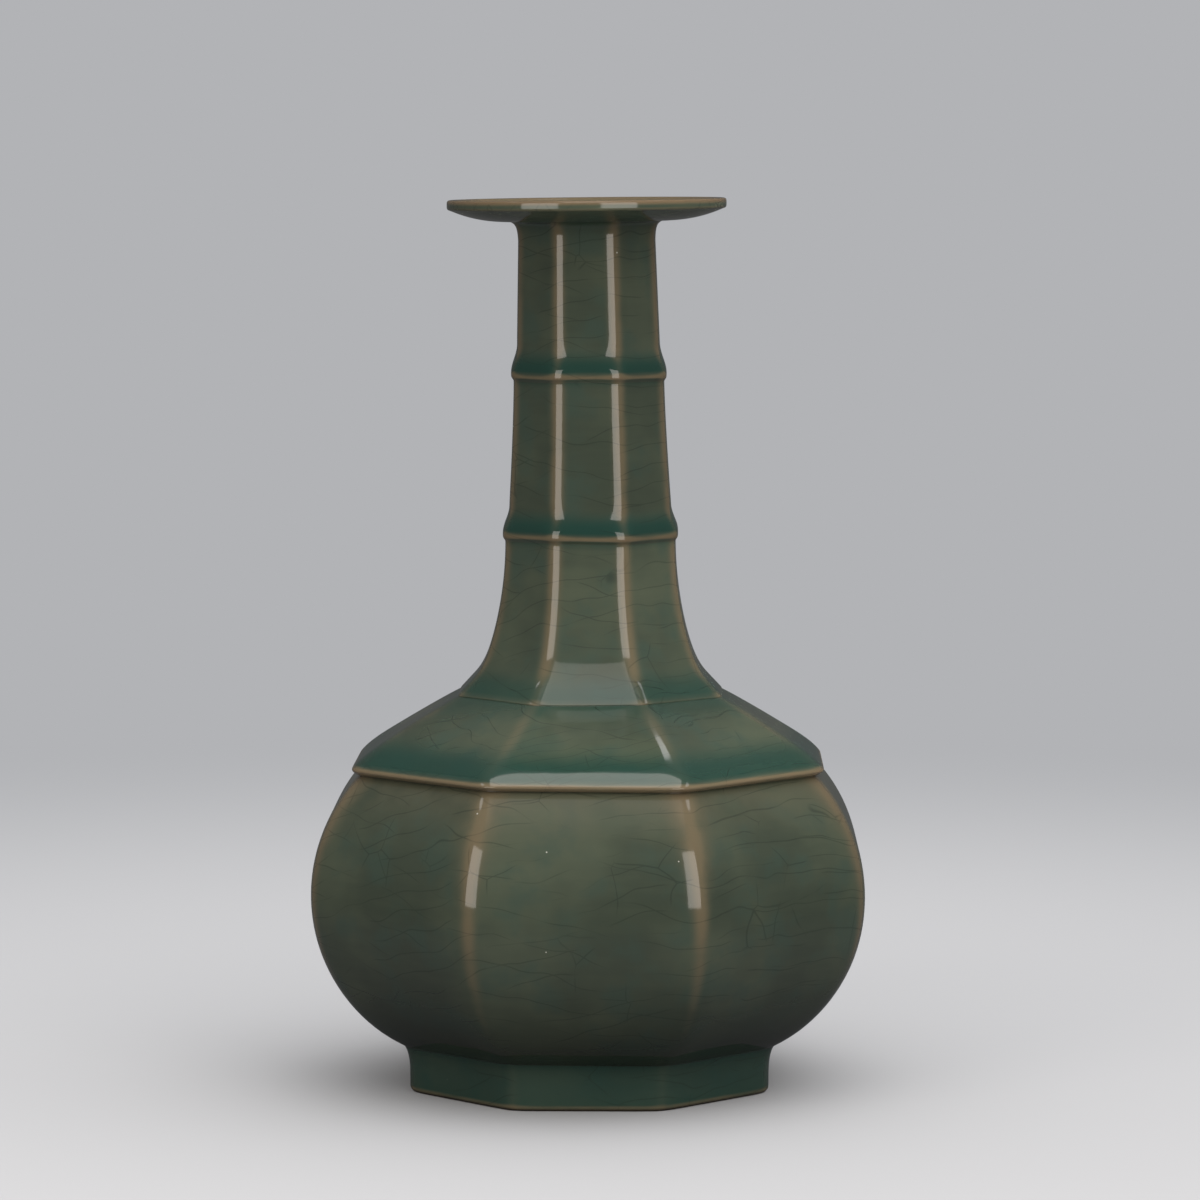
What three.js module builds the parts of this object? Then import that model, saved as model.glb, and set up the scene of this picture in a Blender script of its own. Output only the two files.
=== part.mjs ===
// Octagonal long-necked stoneware vase with bamboo-joint ridges, in millimetres, +Z up.
// The origin is the middle of the foot's resting face, and one flat side faces -Y.
// The pot is raised from separately moulded clay sections. Each one drops over a tongue on
// the section below, and the luting seams hide under the raised ridges.
import * as THREE from "three";

const sides = 8;

// Heights: the whole vase, and each section between its seams from the foot up. The upper neck
// takes what is left of the height.
const vaseHeight = 250;
const footHeight = 13.2;
const bellyLowerHeight = 43.1;
const bellyUpperHeight = 33.9;
const shoulderHeight = 20.7;
const neckLowerHeight = 43.4;
const neckMiddleHeight = 44.7;
const plateHeight = 6.2;

// Distance from the axis to the flat of a side, outside
const footFlat = 50.4;
const bellyFootFlat = 52;
const bellyFlat = 77.2; // at the belly's widest
const shoulderFlat = 66; // on the shoulder's ridge
const neckBaseFlat = 37.4; // on the ridge at the neck's base
const lowerJointFlat = 24.6; // on the lower bamboo joint
const upperJointFlat = 21.8; // on the upper bamboo joint
const neckWaistFlat = 19.2; // just under the mouth
const mouthRadius = 39.2; // the mouth plate is round

// Ridges
const ridgeStep = 0.7; // how far a ridge of the neck stands out over the section below it
const shoulderStep = 2.6; // the same for the shoulder's ridge
const ridgeBand = 1.4; // height of a ridge's blunt edge
const ridgeDraft = 0.1; // how far the blunt edge leans in towards its foot
const jointSwell = 1.8; // how far a bamboo joint stands out from the wall above it
const jointRise = 10.5; // height over which that swell fades into the wall
const shoulderRoll = 0.08; // share of the shoulder's fall taken by the roll into its ridge
const shoulderRollPower = 12; // the higher, the tighter the roll
const shoulderSlopePower = 1.07; // 1 is a straight slope

// Flare at the neck's base: a long sweep, and a short curl into the ridge
const flareSweep = 0.62; // share of the flare that belongs to the sweep
const flareCurlHeight = 3.4;
const mouthCurlSwell = 1.3; // the same curl under the mouth plate
const mouthCurlHeight = 1.8;
const curlReach = 3; // a curl is cut off after so many of its heights
const middleTaperPower = 1.4; // 1 is a straight taper
const upperTaperPower = 1;

// Belly: a quarter ellipse below the seam and another above it
const bellyCentreFlat = 31.6; // where both ellipses have their centre

// Walls and joints
const neckWall = 4.6;
const bellyWall = 5.2;
const footWall = 8.2;
const throatEase = 1.6; // extra wall where the neck's flare meets the shoulder
const tongueHeight = 3;
const tongueThickness = 2;
const slipGap = 0.3; // room for the slip between a tongue and its rebate
const bendClearance = 0.6; // least height between a rebate's roof and the next bend inside

// Floor
const footFlare = 0.4; // how much wider the foot is at its top
const footChamfer = 0.8;
const slabThickness = 5.4;
const slabLedge = 3.4;
const bellySeat = 1; // how far the belly's wall reaches in over the slab's edge

// Mouth plate
const plateEdge = 2.9; // height of the plate at its rim
const plateEdgeRound = 0.8;
const lipWidth = 2.2;
const lipFall = 3.2; // width of the slope from the lip into the dish
const dishDepth = 1.4;
const boreRound = 1.2;
const plateSegments = 64;

// Roundness of the vertical edges: a least radius, and what a wider section adds to it
const edgeRadiusLeast = 5.5;
const edgeRadiusShare = 0.13;
const edgeSteps = 3;

// How finely each curve is cut from top to bottom
const bellyLowerSteps = 12;
const bellyUpperSteps = 8;
const shoulderSteps = 7;
const flareSteps = 14;
const jointSteps = 5;
const mouthCurlSteps = 4;
const plateCurveSteps = 4;

// Heights of the seams
const footSeam = footHeight;
const bellySeam = footSeam + bellyLowerHeight;
const shoulderSeam = bellySeam + bellyUpperHeight;
const neckBaseSeam = shoulderSeam + shoulderHeight;
const lowerJointSeam = neckBaseSeam + neckLowerHeight;
const upperJointSeam = lowerJointSeam + neckMiddleHeight;
const mouthSeam = vaseHeight - plateHeight;

const glaze = new THREE.MeshStandardMaterial({ color: "#5c7560", roughness: 0.12, metalness: 0 });
const darkGlaze = new THREE.MeshStandardMaterial({ color: "#3f6152", roughness: 0.15, metalness: 0 });
const bareClay = new THREE.MeshStandardMaterial({ color: "#5a4a40", roughness: 0.85, metalness: 0 });

const halfTurn = Math.PI / sides; // from the middle of a side to its corner
const point = (flat, z) => new THREE.Vector2(flat, z);
const mix = THREE.MathUtils.lerp;
const edgeRadius = (flat) => edgeRadiusLeast + edgeRadiusShare * flat;
const edgeCentre = (flat) => (flat - edgeRadius(flat)) / Math.cos(halfTurn);
const cornerReach = (flat) => edgeCentre(flat) + edgeRadius(flat);

// Points round a regular polygon whose flats lie `flat` from the axis and whose corners are arcs
function octagonPoints(flat) {
  const points = [];
  for (let side = 0; side < sides; side += 1) {
    const corner = -Math.PI / 2 + (2 * side + 1) * halfTurn;
    const centre = new THREE.Vector2(Math.cos(corner), Math.sin(corner)).multiplyScalar(edgeCentre(flat));
    for (let step = 0; step <= edgeSteps; step += 1) {
      const turn = corner + halfTurn * ((2 * step) / edgeSteps - 1);
      const arm = new THREE.Vector2(Math.cos(turn), Math.sin(turn)).multiplyScalar(edgeRadius(flat));
      points.push(arm.add(centre));
    }
  }
  return points;
}

// A closed ring: the wall's cross-section, a closed list of (flat, z), carried round the octagon
function facetedRing(section) {
  const rings = section.map(({ x: flat, y: z }) => octagonPoints(flat).map((p) => [p.x, p.y, z]));
  const around = rings[0].length;
  const index = [];
  for (let i = 0; i < rings.length; i += 1) {
    const nextRing = (i + 1) % rings.length;
    for (let j = 0; j < around; j += 1) {
      const nextColumn = (j + 1) % around;
      const a = i * around + j;
      const b = i * around + nextColumn;
      const c = nextRing * around + nextColumn;
      const d = nextRing * around + j;
      index.push(a, c, b, a, d, c);
    }
  }
  const geometry = new THREE.BufferGeometry();
  geometry.setAttribute("position", new THREE.Float32BufferAttribute(rings.flat(2), 3));
  geometry.setIndex(index);
  geometry.computeVertexNormals();
  return geometry;
}

// An outline from a height down to another, where flatAt gives the flat at a share of the way down
function outlineDown(top, bottom, steps, flatAt) {
  return Array.from({ length: steps + 1 }, (_, i) => point(flatAt(i / steps), mix(top, bottom, i / steps)));
}

// The ellipse's half height follows from the flat that it has to reach at its end
function bellyOutline(top, bottom, endFlat, steps) {
  const swell = bellyFlat - bellyCentreFlat;
  const endShare = (endFlat - bellyCentreFlat) / swell;
  const end = top === bellySeam ? bottom : top;
  const halfHeight = Math.abs(end - bellySeam) / Math.sqrt(1 - endShare ** 2);
  return outlineDown(top, bottom, steps, (share) => {
    const rise = (mix(top, bottom, share) - bellySeam) / halfHeight;
    return bellyCentreFlat + swell * Math.sqrt(1 - rise ** 2);
  });
}

// From the neck's base up to its ridge the shoulder falls in a slope that rolls over at its end
function shoulderOutline(steps) {
  const innerFlat = neckBaseFlat - ridgeStep;
  const ridgeTop = shoulderSeam + ridgeBand;
  return Array.from({ length: steps + 1 }, (_, i) => {
    const out = 1 - (1 - i / steps) ** 2;
    const fall = (1 - shoulderRoll) * out ** shoulderSlopePower + shoulderRoll * out ** shoulderRollPower;
    return point(mix(innerFlat, shoulderFlat, out), mix(neckBaseSeam, ridgeTop, fall));
  });
}

// The flat of the lower neck, as a share of the flare, at a share of the way down
function flareShare(down) {
  const up = 1 - down;
  const curl = flareCurlHeight / (neckLowerHeight - ridgeBand);
  return flareSweep * down ** 2 + (1 - flareSweep) * Math.exp(-up / curl);
}

// A tapering length of neck, then the swell of the joint under it, in half a cosine wave
function jointOutline(topFlat, jointFlat, top, seam, taperPower) {
  const wallFlat = jointFlat - jointSwell;
  const swellTop = seam + jointRise;
  const wall = outlineDown(top, swellTop, jointSteps, (down) => mix(topFlat, wallFlat, down ** taperPower));
  const swell = outlineDown(swellTop, seam + ridgeBand, jointSteps, (down) => {
    return mix(wallFlat, jointFlat, (1 - Math.cos(Math.PI * down)) / 2);
  });
  return [...wall, ...swell.slice(1)];
}

// The inside outline lies the wall's thickness in from the outside one, and runs from foot to top
function insideOf(outline, wall) {
  const last = outline.length - 1;
  const inner = outline.map((p, i) => {
    const along = outline[Math.min(i + 1, last)].clone().sub(outline[Math.max(i - 1, 0)]);
    const inward = new THREE.Vector2(along.y, -along.x).normalize();
    return p.clone().addScaledVector(inward, wall);
  });
  return inner.reverse();
}

// A wall section: its outside outline from the top down, a tongue on its top and a rebate in its
// foot. insideTop and insideFoot are the flats of its bore at those ends.
function wallSection({ outline, wall, insideTop, insideFoot, hasRebate, hasTongue }) {
  const top = outline[0].y;
  const foot = outline[outline.length - 1].y;
  const section = [...outline];
  let innerFoot = foot;
  if (hasRebate) {
    innerFoot = foot + tongueHeight + slipGap;
    const rebateFlat = insideFoot + tongueThickness + slipGap;
    section.push(point(rebateFlat, foot), point(rebateFlat, innerFoot));
  }
  section.push(point(insideFoot, innerFoot));
  const isClear = (p) => p.y > innerFoot + bendClearance && p.y < top - bendClearance;
  section.push(...insideOf(outline, wall).filter(isClear));
  section.push(point(insideTop, top));
  if (hasTongue) {
    const tongueTop = top + tongueHeight;
    const tongueOutside = insideTop + tongueThickness;
    section.push(point(insideTop, tongueTop), point(tongueOutside, tongueTop), point(tongueOutside, top));
  }
  return facetedRing(section);
}

// Flats of the bore at each seam, shared by the tongue below and the rebate above
const footInside = footFlat - footWall;
const bellyInside = bellyFlat - bellyWall;
const neckBaseInside = neckBaseFlat - ridgeStep - neckWall - throatEase;
const lowerJointInside = lowerJointFlat - ridgeStep - neckWall;
const upperJointInside = upperJointFlat - ridgeStep - neckWall;
const mouthInside = neckWaistFlat - neckWall;

// The belly's wall leans over at the shoulder, so it is thicker there when measured level
const bellyTopFlat = shoulderFlat - shoulderStep;
const bellyUpperOutline = bellyOutline(shoulderSeam, bellySeam, bellyTopFlat, bellyUpperSteps);
const lean = bellyUpperOutline[1].clone().sub(bellyUpperOutline[0]);
const shoulderInside = bellyTopFlat - (bellyWall * lean.length()) / Math.abs(lean.y);

const group = new THREE.Group();

function add(name, geometry, material) {
  const mesh = new THREE.Mesh(geometry, material);
  mesh.name = name;
  group.add(mesh);
}

// Foot ring, with a ledge inside for the floor slab
const slabFlat = footInside + slabLedge;
const slabFoot = footSeam - slabThickness;
add(
  "foot_ring",
  facetedRing([
    point(footFlat + footFlare, footSeam),
    point(footFlat, footChamfer),
    point(footFlat - footChamfer, 0),
    point(footInside + footChamfer, 0),
    point(footInside, footChamfer),
    point(footInside, slabFoot),
    point(slabFlat + slipGap, slabFoot),
    point(slabFlat + slipGap, footSeam),
  ]),
  bareClay,
);

// Floor slab, held down by the belly's wall
const slab = new THREE.ExtrudeGeometry(new THREE.Shape(octagonPoints(slabFlat)), {
  depth: slabThickness,
  bevelEnabled: false,
});
slab.translate(0, 0, slabFoot);
add("base_slab", slab, darkGlaze);

// Belly, in two halves that meet at its widest
add(
  "belly_lower",
  wallSection({
    outline: bellyOutline(bellySeam, footSeam, bellyFootFlat, bellyLowerSteps),
    wall: bellyWall,
    insideTop: bellyInside,
    insideFoot: footInside + bellySeat,
    hasTongue: true,
  }),
  glaze,
);
add(
  "belly_upper",
  wallSection({
    outline: bellyUpperOutline,
    wall: bellyWall,
    insideTop: shoulderInside,
    insideFoot: bellyInside,
    hasRebate: true,
    hasTongue: true,
  }),
  glaze,
);

// Shoulder, a shallow eight-sided roof
add(
  "shoulder",
  wallSection({
    outline: [...shoulderOutline(shoulderSteps), point(shoulderFlat - ridgeDraft, shoulderSeam)],
    wall: bellyWall,
    insideTop: neckBaseInside,
    insideFoot: shoulderInside,
    hasRebate: true,
    hasTongue: true,
  }),
  darkGlaze,
);

// Neck, in three lengths like a bamboo stem
const flareTopFlat = lowerJointFlat - ridgeStep;
const flareOutline = outlineDown(lowerJointSeam, neckBaseSeam + ridgeBand, flareSteps, (down) => {
  return mix(flareTopFlat, neckBaseFlat, flareShare(down));
});
add(
  "neck_lower",
  wallSection({
    outline: [...flareOutline, point(neckBaseFlat - ridgeDraft, neckBaseSeam)],
    wall: neckWall,
    insideTop: lowerJointInside,
    insideFoot: neckBaseInside,
    hasRebate: true,
    hasTongue: true,
  }),
  glaze,
);
const neckMiddleTop = upperJointFlat - ridgeStep;
add(
  "neck_middle",
  wallSection({
    outline: [
      ...jointOutline(neckMiddleTop, lowerJointFlat, upperJointSeam, lowerJointSeam, middleTaperPower),
      point(lowerJointFlat - ridgeDraft, lowerJointSeam),
    ],
    wall: neckWall,
    insideTop: upperJointInside,
    insideFoot: lowerJointInside,
    hasRebate: true,
    hasTongue: true,
  }),
  glaze,
);
const curlFoot = mouthSeam - curlReach * mouthCurlHeight;
const mouthCurl = outlineDown(mouthSeam, curlFoot, mouthCurlSteps, (down) => {
  return neckWaistFlat + mouthCurlSwell * Math.exp(-curlReach * down);
});
add(
  "neck_upper",
  wallSection({
    outline: [
      ...mouthCurl,
      ...jointOutline(neckWaistFlat, upperJointFlat, curlFoot, upperJointSeam, upperTaperPower).slice(1),
      point(upperJointFlat - ridgeDraft, upperJointSeam),
    ],
    wall: neckWall,
    insideTop: mouthInside,
    insideFoot: upperJointInside,
    hasRebate: true,
    hasTongue: true,
  }),
  glaze,
);

// Mouth plate, thrown round on the wheel, with a lip, a shallow dish and a rebate for the neck
const rebateRadius = cornerReach(mouthInside + tongueThickness) + slipGap;
const seatRadius = cornerReach(neckWaistFlat + mouthCurlSwell);
const rebateRoof = mouthSeam + tongueHeight + slipGap;
const rimFoot = vaseHeight - plateEdge;
const bendRadius = (seatRadius + mouthRadius) / 2; // where the underside bends up to the rim
const dishRadius = mouthRadius - lipWidth - lipFall;
const dishFloor = vaseHeight - dishDepth;
const plateProfile = new THREE.Path();
plateProfile.moveTo(rebateRadius, mouthSeam);
plateProfile.lineTo(seatRadius, mouthSeam);
plateProfile.quadraticCurveTo(bendRadius, mouthSeam, mouthRadius - plateEdgeRound, rimFoot);
plateProfile.quadraticCurveTo(mouthRadius, rimFoot, mouthRadius, rimFoot + plateEdgeRound);
plateProfile.lineTo(mouthRadius, vaseHeight - plateEdgeRound);
plateProfile.quadraticCurveTo(mouthRadius, vaseHeight, mouthRadius - plateEdgeRound, vaseHeight);
plateProfile.lineTo(mouthRadius - lipWidth, vaseHeight);
plateProfile.bezierCurveTo(
  mouthRadius - lipWidth - lipFall / 2,
  vaseHeight,
  dishRadius + lipFall / 2,
  dishFloor,
  dishRadius,
  dishFloor,
);
plateProfile.lineTo(mouthInside + boreRound, dishFloor);
plateProfile.quadraticCurveTo(mouthInside, dishFloor, mouthInside, dishFloor - boreRound);
plateProfile.lineTo(mouthInside, rebateRoof);
plateProfile.lineTo(rebateRadius, rebateRoof);
plateProfile.lineTo(rebateRadius, mouthSeam);
const plate = new THREE.LatheGeometry(plateProfile.getPoints(plateCurveSteps), plateSegments);
plate.rotateX(Math.PI / 2);
add("mouth_plate", plate, glaze);

export default group;
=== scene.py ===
# Octagonal celadon bottle vase with bamboo joints, on a pale studio floor. Shapes are worked
# out in millimetres and put into the meshes in metres.
import math

import bpy
import numpy as np
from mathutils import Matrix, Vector


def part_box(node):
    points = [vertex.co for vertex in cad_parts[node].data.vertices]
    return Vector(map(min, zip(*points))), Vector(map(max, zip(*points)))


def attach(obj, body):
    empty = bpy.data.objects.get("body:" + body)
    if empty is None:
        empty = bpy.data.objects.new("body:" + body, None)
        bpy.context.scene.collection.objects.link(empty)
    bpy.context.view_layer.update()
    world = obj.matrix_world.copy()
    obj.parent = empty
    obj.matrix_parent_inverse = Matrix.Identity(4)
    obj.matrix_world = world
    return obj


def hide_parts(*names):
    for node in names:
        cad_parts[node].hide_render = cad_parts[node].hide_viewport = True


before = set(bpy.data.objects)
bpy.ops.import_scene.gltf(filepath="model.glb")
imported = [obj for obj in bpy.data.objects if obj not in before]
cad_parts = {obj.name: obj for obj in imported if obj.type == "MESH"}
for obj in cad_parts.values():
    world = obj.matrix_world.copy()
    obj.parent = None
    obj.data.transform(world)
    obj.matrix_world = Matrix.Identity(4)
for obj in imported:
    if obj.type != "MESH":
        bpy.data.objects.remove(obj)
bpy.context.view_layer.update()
millimetre = 0.001
print("stage: frame loaded")


# Height of a CAD node's lowest point
def footOf(node):
    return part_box(node)[0].z / millimetre


# From the axis to a CAD node's widest flat side
def flatOf(node):
    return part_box(node)[1].y / millimetre


# Heights of the seams between the sections
seam = {
    "foot": footOf("belly_lower"),
    "belly": footOf("belly_upper"),
    "shoulder": footOf("shoulder"),
    "neckBase": footOf("neck_lower"),
    "lowerJoint": footOf("neck_middle"),
    "upperJoint": footOf("neck_upper"),
    "mouth": footOf("mouth_plate"),
}
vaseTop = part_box("mouth_plate")[1].z / millimetre

# Ways in which the hand-made vase strays from true
handMade = {
    "leans": [0.25, 0.0, -0.1, 0.4, 0.4, -0.05, -0.75],  # sideways, at each seam from the foot up
    "mouthTilt": 0.8,  # the mouth's left side hangs this much lower
    "waveDepth": 0.12,
    "waveLength": 70.0,  # up the vase
}

# How the vase's outside is cut into faces
mesh = {
    "sides": 8,
    "columnsPerSide": 40,
    "cornerGather": 0.8,  # 0 spaces the columns evenly, 1 gathers them at the corners
    "rowGap": 1.6,
    "rowTurn": math.radians(5),
    "endGap": 0.12,
    "outlineStep": 0.05,
    "glazeSoftness": 0.4,  # spread of the bell curve that rounds the outline
    "sharpAngle": math.radians(40),
}

# Points on each curve of the outline before it is sampled evenly
curvePoints = {"foot": 60, "belly": 160, "slope": 160, "flare": 240, "joint": 100, "curl": 80, "plate": 40}

# Roundness of the vertical edges
edge = {"radiusLeast": 6.2, "radiusShare": 0.09, "radiusMost": 0.75}

halfSide = math.pi / mesh["sides"]


# Radius all round an octagon, for each flat and each angle from the middle of a side:
# flat / (sum of cos(angle to each near side) ^ power) ^ (1 / power). The power is the one that
# brings the corner in from sharp to where an arc of the edge's radius would put it. The
# rounding is how many times larger than usual that radius is.
def octagonRadius(flats, offsets, rounding=1.0):
    flats = np.asarray(flats)[:, None]
    radius = (edge["radiusLeast"] + edge["radiusShare"] * flats) * np.reshape(rounding, (-1, 1))
    radius = np.minimum(radius, edge["radiusMost"] * flats)
    sharp = flats / math.cos(halfSide)
    reach = (flats - radius) / math.cos(halfSide) + radius
    power = math.log(2) / np.log(sharp / reach)
    near = [np.cos(offsets[None, :] + turn) ** power for turn in (-2 * halfSide, 0, 2 * halfSide)]
    return flats * sum(near) ** (-1 / power)


# Slow waves, a lean from seam to seam and a tilt of the mouth. Waves = sin(3 * angle + climb) +
# sin(5 * angle - 2 * climb + 2) / 2, where climb is one turn for each wave length, and they die
# out at the foot and at the top.
def settle(x, y, z):
    angle = np.arctan2(y, x)
    climb = 2 * math.pi * z / handMade["waveLength"]
    wave = np.sin(3 * angle + climb) + np.sin(5 * angle - 2 * climb + 2) / 2
    held = np.clip(z / seam["foot"], 0, 1) * np.clip((vaseTop - z) / (vaseTop - seam["upperJoint"]), 0, 1)
    heights = [0, *seam.values()]
    leans = [handMade["leans"][0]] + handMade["leans"]
    share = np.clip((z - seam["upperJoint"]) / (seam["mouth"] - seam["upperJoint"]), 0, 1)
    width = flatOf("mouth_plate")
    drop = handMade["mouthTilt"] * (width - x) / (2 * width) * share**2 * (3 - 2 * share)
    return x + np.interp(z, heights, leans), y, z + handMade["waveDepth"] * wave * held - drop


# Weights of exp(-(distance / spread) ^ 2 / 2) at the outline's samples, with a sum of 1
def bellCurve(spread):
    reach = int(4 * spread / mesh["outlineStep"])
    bell = np.exp(-0.5 * (np.arange(-reach, reach + 1) * mesh["outlineStep"] / spread) ** 2)
    return bell / bell.sum()


# Outline from points of (flat, height), sampled evenly along its length and rounded by a bell
# curve, with its length, its turn and its bend at each sample
def soften(points, spread):
    lengths = np.hypot(*np.diff(points, axis=0).T)
    along = np.concatenate(([0], np.cumsum(lengths)))
    even = np.arange(0, along[-1], mesh["outlineStep"])
    line = np.stack([np.interp(even, along, points[:, k]) for k in (0, 1)], axis=1)
    bell = bellCurve(spread)
    reach = len(bell) // 2
    before = 2 * line[:1] - line[reach:0:-1]
    after = 2 * line[-1:] - line[-2 : -reach - 2 : -1]
    padded = np.concatenate((before, line, after))
    soft = np.stack([np.convolve(padded[:, k], bell, "valid") for k in (0, 1)], axis=1)
    steps = np.gradient(soft, axis=0)
    turn = np.unwrap(np.arctan2(steps[:, 1], steps[:, 0]))
    bend = np.gradient(turn) / np.hypot(steps[:, 0], steps[:, 1])
    return {"along": even, "points": soft, "turn": turn, "bend": bend}


# Places for rows between two lengths along an outline: each row takes an equal share of
# length / rowGap + turn / rowTurn. One more row lies close to each end, so that the sections
# on both sides of a seam shade alike.
def rowPlaces(outline, first, last):
    endGap = mesh["endGap"]
    even = outline["along"]
    cost = np.abs(np.gradient(outline["turn"])) / mesh["rowTurn"] + mesh["outlineStep"] / mesh["rowGap"]
    total = np.cumsum(cost)
    ends = np.interp([first, last], even, total)
    count = int(math.ceil(ends[1] - ends[0])) + 1
    places = np.interp(np.linspace(*ends, count), total, even)
    inner = places[(places > first + 2 * endGap) & (places < last - 2 * endGap)]
    return np.concatenate(([first, first + endGap], inner, [last - endGap, last]))


# Flat and height of an outline at lengths along it
def pointsAt(outline, places):
    return np.stack([np.interp(places, outline["along"], outline["points"][:, k]) for k in (0, 1)], axis=1)


# Ridges: how far their blunt undersides stand in and how high those reach
ridge = {"band": 1.4, "draft": 0.75, "knee": 0.8, "step": 0.7}
shoulderRidge = {"band": 1.2, "draft": 1.2, "knee": 1.1}

# Each section's outline runs from its foot to its top
footRing = {
    "flat": flatOf("foot_ring") - 0.4,
    "inside": flatOf("foot_ring") - 8.6,
    "chamfer": 0.8,
    "slabFoot": footOf("base_slab"),
    "filletPower": 4.5,  # the higher, the tighter the fillet under the belly
    "ledge": 3.7,
    "bareTop": (0.9, 0.25),  # heights between which the wiped glaze ends
    "insidePool": 0.6,
}


# From the recess round the resting face and up to the belly, where flat = foot flat + (belly's
# foot flat - foot flat) * share of the height ^ power
def footOutline():
    inner = footRing["inside"]
    outer = footRing["flat"]
    chamfer = footRing["chamfer"]
    rest = [(inner, footRing["slabFoot"]), (inner, chamfer), (inner + chamfer, 0), (outer - chamfer, 0)]
    z = np.linspace(chamfer, seam["foot"], curvePoints["foot"])
    flat = outer + (bellyLower["footFlat"] - outer) * (z / seam["foot"]) ** footRing["filletPower"]
    return np.concatenate((rest, np.stack((flat, z), axis=1)))


bellyLower = {"footFlat": 52.0, "centreFlat": 31.6, "wall": 5.2, "seat": 1.0}


# Flat of the belly at heights z: centre + swell * sqrt(1 - (rise / half height) ^ 2), where the
# half height follows from the flat at the section's far end
def bellyFlat(z, end, endFlat):
    swell = flatOf("belly_lower") - bellyLower["centreFlat"]
    endShare = (endFlat - bellyLower["centreFlat"]) / swell
    halfHeight = abs(end - seam["belly"]) / math.sqrt(1 - endShare**2)
    return bellyLower["centreFlat"] + swell * np.sqrt(1 - ((z - seam["belly"]) / halfHeight) ** 2)


def bellyLowerOutline():
    z = np.linspace(seam["foot"], seam["belly"], curvePoints["belly"])
    return np.stack((bellyFlat(z, seam["foot"], bellyLower["footFlat"]), z), axis=1)


bellyUpper = {"topFlat": flatOf("shoulder") - 2.6, "wall": 5.2}


def bellyUpperOutline():
    z = np.linspace(seam["belly"], seam["shoulder"], curvePoints["belly"])
    return np.stack((bellyFlat(z, seam["shoulder"], bellyUpper["topFlat"]), z), axis=1)


shoulder = {"roll": 0.08, "rollPower": 12, "slopePower": 1.07, "wall": 5.2}


# Blunt underside and edge of a ridge that stands on a seam
def ridgeOutline(flat, foot, band, shape):
    return np.array([(flat - shape["draft"], foot), (flat, foot + shape["knee"]), (flat, foot + band)])


# Fall of the shoulder = (1 - roll) * out ^ slope power + roll * out ^ roll power, where out is
# the share of the way out to the ridge
def shoulderOutline():
    flat = flatOf("shoulder")
    inner = flatOf("neck_lower") - ridge["step"]
    ridgePoints = ridgeOutline(flat, seam["shoulder"], shoulderRidge["band"], shoulderRidge)
    ridgeTop = ridgePoints[-1, 1]
    out = np.linspace(1, 0, curvePoints["slope"])
    roll = shoulder["roll"]
    fall = (1 - roll) * out ** shoulder["slopePower"] + roll * out ** shoulder["rollPower"]
    z = seam["neckBase"] + (ridgeTop - seam["neckBase"]) * fall
    slope = np.stack((inner + (flat - inner) * out, z), axis=1)
    return np.concatenate((ridgePoints, slope[1:]))


neckLower = {
    "sweep": 0.62,
    "curlHeight": 3.4,
    "coneHeight": 3.4,
    "coneSlope": 0.92,
    "draft": 0.1,
    "wall": 4.6,
}


# Flare = sweep * (1 - up) ^ 2 + (1 - sweep) * exp(-up * height / curl height). It stands on a
# cone, which ends in the sharp ridge round its foot.
def neckLowerOutline():
    flat = flatOf("neck_lower")
    topFlat = flatOf("neck_middle") - ridge["step"]
    foot = seam["neckBase"] + ridge["band"]
    up = np.linspace(0, 1, curvePoints["flare"])
    height = seam["lowerJoint"] - foot
    sweep = neckLower["sweep"]
    flare = sweep * (1 - up) ** 2 + (1 - sweep) * np.exp(-up * height / neckLower["curlHeight"])
    flats = topFlat + (flat - topFlat) * flare
    coneTop = np.interp(neckLower["coneHeight"], up * height, flats)
    cone = coneTop + np.maximum(neckLower["coneHeight"] - up * height, 0) * neckLower["coneSlope"]
    flats = np.minimum(flats, cone)
    edgePoint = [(flat - neckLower["draft"], seam["neckBase"])]
    return np.concatenate((edgePoint, np.stack((flats, foot + up * height), axis=1)))


# Over a joint's ridge the wall draws in by half a cosine wave, then tapers to its top as
# wall flat + (top flat - wall flat) * (1 - down ^ power)
def jointOutline(section, flat, foot, topFlat, top):
    drawnIn = section["drawnIn"]
    wallFlat = flat - drawnIn
    down = np.linspace(1, 0, curvePoints["joint"])
    swell = wallFlat + drawnIn * (1 - np.cos(math.pi * down)) / 2
    swellHeights = foot + section["rise"] - down * (section["rise"] - section["band"])
    taper = topFlat + (wallFlat - topFlat) * down ** section["taperPower"]
    taperHeights = top - (top - foot - section["rise"]) * down
    flats = np.concatenate((swell[1:], taper[1:]))
    heights = np.concatenate((swellHeights[1:], taperHeights[1:]))
    ridgePoints = ridgeOutline(flat, foot, section["band"], ridge)
    return np.concatenate((ridgePoints, np.stack((flats, heights), axis=1)))


neckMiddle = {"band": 2.0, "drawnIn": 1.9, "rise": 9.8, "taperPower": 1.4, "wall": 4.6}


def neckMiddleOutline():
    topFlat = flatOf("neck_upper") - ridge["step"]
    return jointOutline(neckMiddle, flatOf("neck_middle"), seam["lowerJoint"], topFlat, seam["upperJoint"])


neckUpper = {
    "band": 2.0,
    "drawnIn": 1.8,
    "rise": 10.5,
    "taperPower": 1.0,
    "waistFlat": 19.2,
    "curls": [(1.3, 1.8), (0.9, 0.45)],  # swell and height of each curl that spreads under the mouth
    "curlFoot": 5.4,  # below the mouth
    "wall": 4.6,
}


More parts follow.
